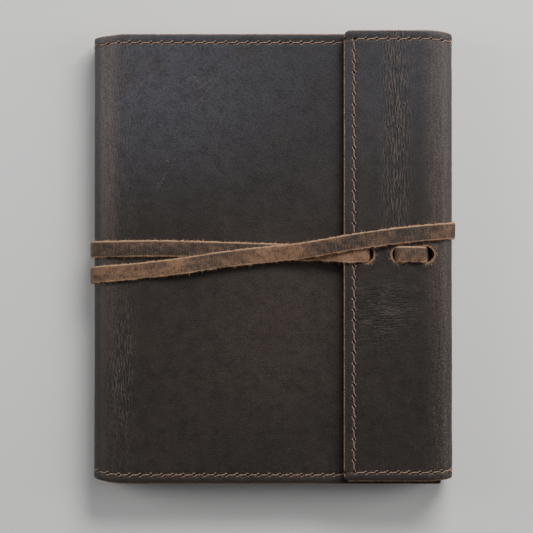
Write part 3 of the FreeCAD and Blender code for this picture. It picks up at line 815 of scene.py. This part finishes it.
def punch(obj, radius, low, high):
    """Cuts the three round strap holes through a piece of the flap, with slightly ragged rims."""
    turns = np.linspace(0, 2 * math.pi, HOLE_SIDES, endpoint=False)
    for k, x in enumerate(HOLE_XS):
        reach = radius * (1 + 0.035 * noise(turns * 2.1, 4.0 * k, 8) + 0.02 * noise(turns * 7, k, 9))
        ring = np.column_stack([x + reach * np.cos(turns), HOLE_Y + reach * np.sin(turns)])
        ends = [np.column_stack([ring, np.full(HOLE_SIDES, z)]) for z in (low - 1.5, high + 1.5)]
        cut_through(obj, make_mesh("cutter", np.concatenate(ends), tube_faces(2, HOLE_SIDES), {},
                                   obj.active_material))
    mesh = obj.data
    place = read(mesh, "position", "vector", 3) / MM
    flat, edge = read(mesh, "flat", "vector", 3), read(mesh, "edge", "value", 1)[:, 0]
    for x in HOLE_XS:
        away = np.hypot(place[:, 0] - x, place[:, 1] - HOLE_Y) - radius
        around = away < 3
        flat[around, 0] = S_END - (place[around, 0] - FLAP_LOW[0])
        flat[around, 1] = place[around, 1] - FLAP_SHIFT
        rim = around & (away < 0.35)
        flat[rim, 2] = np.clip((high - place[rim, 2]) / (high - low), 0, 1)
        edge[around] = np.minimum(edge[around], np.maximum(away[around], 0))
    mesh.attributes["flat"].data.foreach_set("vector", flat.ravel())
    mesh.attributes["edge"].data.foreach_set("value", edge)
    mesh.set_sharp_from_angle(angle=math.radians(50))


def make_cover():
    for name, parts, low, high, ends, blend in SHEETS:
        inset_low, inset_high = (EDGE_BULGE * (end == "cut") for end in ends)
        places = spaced(low + inset_low, high - inset_high, 2.2, dense=DENSE_S)
        hide = sheet_piece(f"hide_{name}", low, high, ends, HIDE, places, HIDE_MATERIAL)
        lining = sheet_piece(f"suede_lining_{name}", low, high, ends, LINING, places,
                             LINING_MATERIAL, lift=-(HIDE + LINING) / 2)
        if name == "flap":
            punch(hide, HOLE_RADIUS - 1.0, FLAP_Z - HIDE, FLAP_Z)
            punch(lining, HOLE_RADIUS - 0.7, FLAP_Z - HIDE - LINING, FLAP_Z - HIDE)
        stand_in(hide, "outer_leather", *[f"outer_{part}" for part in parts], blend=blend)
        stand_in(lining, "lining_leather", *[f"lining_{part}" for part in parts], blend=blend)


# ---------------------------------------------------------------- stitches
def stitch(s, y, along_s, level, side, seed):
    """One stitch of twisted thread from hole to hole. Its ends pass each other beside the holes, so
    that each hole shows as a dark eye in the row. Returns points, faces and flat coordinates."""
    rings, around = 21, 8
    half = STITCH_PITCH / 2 + THREAD_OVERLAP + 0.12 * float(noise(seed * 2.3, 1.5, 22))
    t = np.linspace(-1, 1, rings)
    along = t * half
    eye = THREAD_ASIDE * (1 + 0.22 * float(noise(seed * 1.7, 0.5, 21)))
    past = np.abs(t)
    bow = smooth(past, 0.42, 0.80) - 0.62 * smooth(past, 0.84, 1.0)
    across = eye * np.sign(t) * bow + 0.16 * t + 0.05 * float(noise(seed * 3.1, 4.5, 24))
    rise = level + side * (0.20 + 0.08 * bow - 0.62 * past ** 14)
    swell = THREAD_RADIUS * (1 - 0.2 * past ** 8) * (1 + 0.08 * float(noise(seed, 2.5, 23)))
    turn = np.linspace(0, 2 * math.pi, around, endpoint=False)
    ply = 1 + 0.13 * np.cos(2 * turn[None, :] - along[:, None] * 2 * math.pi / 2.4 + seed)
    wide = swell[:, None] * ply * np.cos(turn)[None, :]
    tall = swell[:, None] * ply * np.sin(turn)[None, :] * 0.9
    run = along[:, None] + 0 * wide
    if along_s:
        ss, yy = s + run, y - across[:, None] + wide
    else:
        ss, yy = s + across[:, None] + wide, y + run
    ss, yy, lift = ss.ravel(), yy.ravel(), (rise[:, None] + tall).ravel()
    lift += relief(np.repeat(s + along * along_s, around), np.repeat(y + along * (not along_s), around))
    place = hide_course.point(ss) + hide_course.outward(ss) * lift[:, None]
    points = np.stack([place[:, 0], lay_y(ss, yy), place[:, 1]], axis=1)
    flat = np.stack([run + seed * 9.7, wide, tall], axis=-1).reshape(-1, 3)
    return points, tube_faces(rings, around, flip=along_s), flat


def seam_places(low, high):
    """Every stitch of one sheet: (s, y, whether it runs along the course)."""
    places = []
    for k in range(int(math.floor(low / STITCH_PITCH)), int(math.ceil(high / STITCH_PITCH)) + 1):
        s = (k + 0.5) * STITCH_PITCH
        if low <= s < high and S_FRONT_SEAM < s < S_FLAP_SEAM + 1.5:
            places += [(s, HEIGHT / 2 - SEAM_INSET, True), (s, SEAM_INSET - HEIGHT / 2, True)]
    reach = int((HEIGHT / 2 - SEAM_INSET) / STITCH_PITCH)
    for row in (S_FRONT_SEAM, S_FLAP_SEAM):
        if low <= row < high:
            places += [(row, (k + 0.5) * STITCH_PITCH, False) for k in range(-reach, reach)]
    return places


def make_seams():
    """The stitches of each sheet, on its outer face and on its lining."""
    for name, parts, low, high, _, blend in SHEETS:
        points, faces, flats, count = [], [], [], 0
        for number, (s, y, along_s) in enumerate(seam_places(low, high)):
            for side, level in ((1, HIDE / 2), (-1, -HIDE / 2 - LINING)):
                seed = number + 0.37 * s + (0 if side > 0 else 500)
                new_points, new_faces, flat = stitch(s, y, along_s, level, side, seed)
                points.append(new_points)
                flats.append(flat)
                faces += [[count + i for i in face] for face in new_faces]
                count += len(new_points)
        seam = make_mesh(f"stitching_{name}", np.concatenate(points), faces,
                         {"flat": np.concatenate(flats)}, THREAD_MATERIAL, smooth_angle=60)
        stand_in(seam, "thread", *[f"seam_{part}" for part in parts], blend=blend)


# ---------------------------------------------------------------- the strap
strap_mid = STRAP / 2
on_front, on_flap = TOP_Z + strap_mid, FLAP_Z + strap_mid
under_flap = FLAP_Z - HIDE - LINING - strap_mid - 0.15
left_x, right_x = STRAP_LEFT + strap_mid, STRAP_RIGHT - strap_mid
low_z = STRAP_LOW[2] + strap_mid + 0.04
near, middle, far = HOLE_XS
over_front = on_front + STRAP + 0.1
over_flap = on_flap + STRAP + 0.1
lace = Course(
    [(middle + 4.0, under_flap), (far + 0.2, under_flap), (far - 0.1, on_flap + 0.35),
     (middle - 1.6, on_flap + 0.35), (middle - 2.9, under_flap), (near + 1.9, under_flap),
     (near + 0.6, on_flap + 0.15), (FLAP_LOW[0] - 1.8, on_flap), (8.0, on_front),
     (left_x, on_front), (left_x, low_z), (right_x, low_z), (right_x, on_flap), (72.7, on_flap),
     (60.7, over_flap), (33.7, over_flap), (4.0, over_front), (-52.0, over_front),
     (-72.0, on_front), (left_x, on_front), (left_x, low_z), (30.0, low_z)],
    [2.6, 2.4, 2.0, 1.6, 1.6, 2.0, 30, 30, 11, 11, 8, 8, 30, 30, 30, 40, 40, 40, 11, 11])


def lace_turns():
    """Where, along the lace, it turns: at the spine, at the fore edge and at the spine again."""
    s = np.arange(0, lace.length, 0.5)
    x = lace.point(s)[:, 0]
    first_left = s[np.argmin(np.where(s < lace.length * 0.5, x, 1e9))]
    right = s[np.argmax(x)]
    return first_left, right, s[np.argmin(np.where(s > right, x, 1e9))]


def lace_crossings():
    """Where, along the lace, it passes the level of the flap's middle, up or down."""
    s = np.arange(0, 90, 0.25)
    above = lace.point(s)[:, 1] > FLAP_Z - HIDE / 2
    return s[1:][above[1:] != above[:-1]]


CROSSINGS = lace_crossings()
S_LACE_OUT = float(CROSSINGS[-1])
FIRST_LEFT, RIGHT_TURN, SECOND_LEFT = lace_turns()
S_WORN_FROM = float(RIGHT_TURN + STRAP_RIGHT - 15)
STRAP_MATERIAL = strap_material()


def lace_knots():
    """Pairs of a place along the lace and its Y: level through the holes, then as the runs lie."""
    s = np.arange(0, lace.length, 0.5)
    x = lace.point(s)[:, 0]
    knots = [(0.0, HOLE_Y), (FIRST_LEFT + 14, 4.2), (RIGHT_TURN, 15.4)]

    def add(places, where, way):
        knots.extend((np.interp(way * px, way * x[where], s[where]), py) for px, py in places)

    add([p for p in UNDER_RUN if p[0] < near - 3], (s < FIRST_LEFT) & (x < near), -1)
    add(BACK_RUN, (s > FIRST_LEFT + 25) & (s < RIGHT_TURN - 25), 1)
    add(OVER_RUN, (s > RIGHT_TURN) & (s < SECOND_LEFT), -1)
    add(TAIL_RUN, s > SECOND_LEFT + 25, 1)
    knots = np.array(sorted(knots))
    keep = np.concatenate([[True], np.diff(knots[:, 0]) > 1.0])
    return knots[keep]


LACE_KNOTS = lace_knots()


def lace_y(s):
    """The knots joined by straight lines and then rounded by averaging over a short stretch."""
    shifts = 1.5 * np.arange(-6, 7)
    return sum(np.interp(s + shift, LACE_KNOTS[:, 0], LACE_KNOTS[:, 1]) for shift in shifts) / 13


def lace_section():
    """The way round the lace's section: (across, up, how far out on the rounded edge)."""
    face = np.linspace(-1, 1, 12)[1:-1]
    rounding = np.linspace(math.pi / 2, -math.pi / 2, 6)
    places = []
    for side in (1.0, -1.0):
        places += [(side * u, side, 0.0) for u in face]
        places += [(side, side * math.sin(a), math.cos(a)) for a in rounding]
    return np.array(places).T


def lace_rings(s):
    """Cross-sections of the lace: points (rings, around, 3), with flat coordinates and edge."""
    xz, outward, y = lace.point(s), lace.outward(s), lace_y(s)
    centre = np.stack([xz[:, 0], y, xz[:, 1]], axis=1)
    normal = np.stack([outward[:, 0], 0 * y, outward[:, 1]], axis=1)
    along = np.stack([-outward[:, 1], lace_y(s + 0.5) - lace_y(s - 0.5), outward[:, 0]], axis=1)
    wide = np.cross(unit(along), normal)
    wide *= np.sign(wide[:, 1])[:, None]
    pinch = 1 - 0.02 * (1 - smooth(s, 52, 64))
    for crossing in CROSSINGS:
        pinch = pinch - 0.10 * np.exp(-((s - crossing) / 3.0) ** 2)
    half_w = STRAP_WIDE / 2 * pinch
    u, v, bulge = lace_section()
    rough_top = 0.18 * noise(s / 3.1, 3.3, 31) + 0.20 * noise(s / 1.3, 8.1, 32)
    rough_low = 0.20 * noise(s / 2.7, 5.9, 33) + 0.24 * noise(s / 1.2, 1.7, 34)
    side_rough = np.where(u > 0, rough_top[:, None], rough_low[:, None])
    w = u * (half_w - LACE_RIM)[:, None] + np.sign(u) * (bulge * LACE_RIM + np.abs(u) ** 6 * side_rough)
    thin = STRAP / 2 * (0.96 - 0.05 * np.abs(u) ** 4)
    pressed = smooth(xz[:, 1], 3, 9)  # 0 where the book lies on the lace
    roll = 0.05 * noise(s / 30, 2.2, 35) * pressed
    cup = (0.06 + 0.45 * (1 - smooth(s, 50, 62))) * pressed
    sag = -cup[:, None] * (w / half_w[:, None]) ** 2 + 0.3 * cup[:, None]
    ripple = 0.10 * noise(s[:, None] / 3.5, w / 5, 36) + 0.05 * noise(s[:, None] / 1.1, w / 3, 37)
    ripple = ripple * (v > 0.5) * pressed[:, None]
    h = v * thin + sag + roll[:, None] * w + ripple
    points = centre[:, None, :] + wide[:, None, :] * w[..., None] + normal[:, None, :] * h[..., None]
    flat = np.stack([s[:, None] + 0 * w, w, (1 - v) / 2 + 0 * w], axis=-1)
    return points, flat, half_w[:, None] - np.abs(w)


def fibres(anchors, outward, lengths, seed):
    """Loose fibres on a raw edge: thin curved spikes, each a closed three-sided tube."""
    number, axis = np.mgrid[0:len(anchors), 0:3]
    sway = chance(number, axis, seed) - 0.5
    curl = chance(number, axis + 5, seed) - 0.5
    direction = unit(outward + 0.9 * sway)
    across = unit(np.cross(direction, (0.31, 0.52, 0.80)))
    other = np.cross(direction, across)
    length = lengths[:, None]
    points = [anchors + direction * length * t + curl * length * 0.5 * t * t
              + radius * (math.cos(a) * across + math.sin(a) * other)
              for t, radius in ((-0.25, 0.075), (0.35, 0.06), (1.0, 0.02)) for a in (0.0, 2.1, 4.2)]
    faces = [[9 * k + i for i in face] for k in range(len(anchors)) for face in tube_faces(3, 3)]
    return np.stack(points, axis=1).reshape(-1, 3), faces


def lace_piece(name, low, high, round_end, hairs, seed):
    """One length of the lace as a closed ribbon with loose fibres along its edges."""
    places = spaced(low, high, 0.75)
    points, flat, edge = lace_rings(places)
    if round_end:
        near_end = np.clip((high - places) / 3.0, 0, 1)
        squeeze = np.sqrt(np.maximum(1 - (1 - near_end) ** 2, 0.03))
        middle_line = points.mean(axis=1, keepdims=True)
        points = middle_line + (points - middle_line) * squeeze[:, None, None]
    rings, around = points.shape[:2]
    faces = tube_faces(rings, around, flip=True)
    at_s = low + (high - low) / hairs * (np.arange(hairs) + 0.5)
    ring_points, ring_flat, _ = lace_rings(at_s)
    number = np.arange(hairs)
    # Each fibre stands on one of the three outer points of the section's upper or lower edge.
    side = np.where(chance(number, 1, seed) > 0.45, 12, 28) + (chance(number, 2, seed) * 3).astype(int)
    anchors = ring_points[number, side]
    outward = unit(anchors - ring_points.mean(axis=1))
    lengths = 0.35 + 1.3 * chance(number, 3, seed) ** 3
    extra, extra_faces = fibres(anchors, outward, lengths, seed)
    faces += [[rings * around + i for i in f] for f in extra_faces]
    hair_flat = np.repeat(ring_flat[number, side], 9, axis=0)
    hair_flat[:, 2] = 0.5
    return make_mesh(name, np.concatenate([points.reshape(-1, 3), extra]), faces,
                     {"flat": np.concatenate([flat.reshape(-1, 3), hair_flat]),
                      "edge": np.concatenate([edge.ravel(), np.zeros(len(extra))])}, STRAP_MATERIAL)


def make_hole_fuzz():
    """Loose fibres that stand round the rims of the strap's holes."""
    k, j = [grid.ravel() for grid in np.mgrid[0:len(HOLE_XS), 0:HOLE_FIBRES]]
    turn = 2 * math.pi * (j + chance(j, k, 71)) / HOLE_FIBRES
    reach = HOLE_RADIUS - 0.8 + 0.9 * chance(j, k + 7, 71)
    x = np.array(HOLE_XS)[k] + reach * np.cos(turn)
    y = HOLE_Y + reach * np.sin(turn)
    way = np.where(chance(j, k, 72) > 0.35, 1, -1)
    outward = unit(np.stack([way * np.cos(turn), way * np.sin(turn), 0.35 + 0 * turn], axis=1))
    lengths = 0.3 + 0.9 * (1.0 - 0.6 * np.sin(turn)) * chance(j, k, 73) ** 2
    anchors = np.stack([x, y, np.full(len(x), FLAP_Z + 0.2)], axis=1)
    points, faces = fibres(anchors, outward, lengths, 74)
    flat = np.column_stack([points[:, :2], np.full(len(points), 0.5)])
    fuzz = make_mesh("hole_rim_fibres", points, faces, {"flat": flat, "edge": np.zeros(len(points))},
                     STRAP_MATERIAL)
    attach(fuzz, "flap")


def make_strap():
    """The lace: the length that is woven through the flap, and the rest; both ride on the flap."""
    reach = np.arange(0, 140, 0.25)
    weave_end = float(reach[lace.point(reach)[:, 0] > WEAVE_LOW[0]].max())
    anchor = lace_piece("strap_anchor", 0.0, weave_end, False, 150, 41)
    stand_in(anchor, "strap_leather", "strap_anchor_weave", body="flap")
    wrap = lace_piece("strap_wrap", weave_end, lace.length, True, 2600, 42)
    stand_in(wrap, "strap_leather", "strap_under_run", "strap_over_run", "strap_spine_turns",
             "strap_fore_edge_turn", "strap_back_runs", body="flap")
    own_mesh(wrap)


# ---------------------------------------------------------------- the notebook and its pockets
def slab(name, low, high, corner, rim, material, waves=0.0, paper=False):
    """A closed plate with rounded corners in plan and a rounded rim, and slight waves. A paper one
    has grooved sides, where its leaves end."""
    size, middle_point = high - low, (low + high) / 2
    outline = []
    for k, (cx, cy) in enumerate(((1, 1), (-1, 1), (-1, -1), (1, -1))):
        for a in np.linspace(k * QUARTER, (k + 1) * QUARTER, 7):
            outline.append((cx * (size[0] / 2 - corner) + corner * math.cos(a),
                            cy * (size[1] / 2 - corner) + corner * math.sin(a)))
    loop = []
    for p, q in zip(outline, outline[1:] + outline[:1]):
        parts = max(1, int(math.dist(p, q) / SLAB_STEP))
        loop += [(p[0] + (q[0] - p[0]) * k / parts, p[1] + (q[1] - p[1]) * k / parts)
                 for k in range(parts)]
    loop = np.array(loop)
    if paper:
        levels = [(-0.10 * (k % 2) - 0.06, size[2] / 2 - size[2] * k / (GROOVES - 1))
                  for k in range(GROOVES)]
    else:
        profile = [(-rim * (1 - math.cos(a)), size[2] / 2 - rim * (1 - math.sin(a)))
                   for a in np.linspace(QUARTER, 0, 4)]
        levels = profile + [(x, -z) for x, z in profile[::-1]]
    # Rings of the top face from its middle out, of the rim, and of the underside back in.
    face = [(share, -rim if share == 1.0 else 0.0) for share in (1.0, 0.985, 0.93, 0.8, 0.6, 0.4, 0.2)]
    rows = [(share, inset, levels[0][1], 0.0) for share, inset in face[::-1]]
    rows += [(1.0, inset, z, 1.0) for inset, z in levels]
    rows += [(share, inset, levels[-1][1], 0.0) for share, inset in face]
    points, flat, side = [], [], []
    for share, inset, z, on_side in rows:
        ring = loop * (share + inset / np.linalg.norm(loop, axis=1))[:, None]
        wave = waves * noise(ring[:, 0] / 60, ring[:, 1] / 70, 50)
        points.append(np.column_stack([ring + middle_point[:2], middle_point[2] + z + wave]))
        flat.append(np.column_stack([ring, np.full(len(ring), z)]))
        side.append(np.full(len(ring), on_side))
    return make_mesh(name, np.concatenate(points), tube_faces(len(rows), len(loop), flip=True),
                     {"flat": np.concatenate(flat), "edge": np.concatenate(side)}, material,
                     smooth_angle=40)


def make_notebook():
    for side in ("front", "back"):
        board = slab(f"notebook_{side}_cover_board", *node_box(f"notebook_{side}_board"), 4.0, 0.5,
                     CLOTH_MATERIAL)
        stand_in(board, "notebook_board", f"notebook_{side}_board", body=side)
        pocket = slab(f"{side}_pocket_sleeve", *node_box(f"{side}_pocket"), 1.5, 0.3,
                      POCKET_MATERIAL, waves=0.05)
        stand_in(pocket, "lining_leather", f"{side}_pocket", body=side)
    for number in range(1, 7):
        low, high = node_box(f"notebook_signature_{number}")
        jog = 0.25 * float(noise(number * 1.7, 0.3, 60))
        low += (0, 0.1 + jog / 3, 0)
        high += (jog - 0.25, jog / 3 - 0.1, 0)
        block = slab(f"signature_{number}", low, high, 1.6, 0.2, PAPER_MATERIAL, paper=True)
        stand_in(block, "paper", f"notebook_signature_{number}", body="back")
    strip = slab("notebook_spine_cloth", *node_box("notebook_spine_strip"), 0.25, 0.1,
                 CLOTH_MATERIAL)
    stand_in(strip, "notebook_board", "notebook_spine_strip", body="spine")


# ---------------------------------------------------------------- floor, light and camera
def make_floor():
    """A pale floor under the object."""
    g = Graph("pale_floor")
    cloud = g.noise(g.node("TexCoord", {}, "Object"), 3.0, detail=2.0)
    g.colour = g.mix(cloud, (0.74, 0.735, 0.725), (0.78, 0.775, 0.765))
    corners = [(x * FLOOR_REACH, y * FLOOR_REACH, 0) for x, y in ((-1, -1), (1, -1), (1, 1), (-1, 1))]
    make_mesh("floor", corners, [(0, 1, 2, 3)], {}, g.finish(0.85, 0.2))


def area_light(name, place, aim, size, energy, colour):
    lamp = bpy.data.lights.new(name, "AREA")
    lamp.shape, lamp.size, lamp.size_y = "RECTANGLE", size[0], size[1]
    lamp.energy, lamp.color = energy, colour
    obj = add_object(name, lamp)
    obj.location = place
    obj.rotation_euler = (Vector(aim) - Vector(place)).to_track_quat("-Z", "Y").to_euler()


def make_lights():
    area_light("key", (0.42, 0.95, 0.85), (0, 0.03, 0.02), (0.8, 0.5), 22.0, (1.0, 0.985, 0.97))
    area_light("left_fill", (-1.15, 0.25, 0.62), (0, 0, 0.02), (0.5, 0.9), 6.3, (1.0, 0.98, 0.96))
    area_light("right_fill", (1.1, 0.15, 0.60), (0, 0, 0.02), (0.5, 0.9), 6.3, (1.0, 0.98, 0.96))
    world = bpy.data.worlds.new("studio")
    world.use_nodes = True
    background = world.node_tree.nodes["Background"]
    background.inputs["Color"].default_value = (0.90, 0.93, 1.0, 1)
    background.inputs["Strength"].default_value = 0.14
    bpy.context.scene.world = world


def make_camera():
    """Straight down, with the head of the cover at the top of the picture."""
    middle_x = (cad_box[0][0] + cad_box[1][0]) / 2
    middle_y = (cad_box[0][1] + cad_box[1][1]) / 2
    data = bpy.data.cameras.new("camera")
    data.lens, data.sensor_width = 180, 36
    camera = add_object("camera", data)
    camera.location = (middle_x - CAMERA_ASIDE, middle_y - CAMERA_BELOW, CAMERA_HEIGHT)
    bpy.context.scene.camera = camera


make_cover()
make_seams()
make_strap()
make_hole_fuzz()
make_notebook()
make_floor()
make_lights()
make_camera()
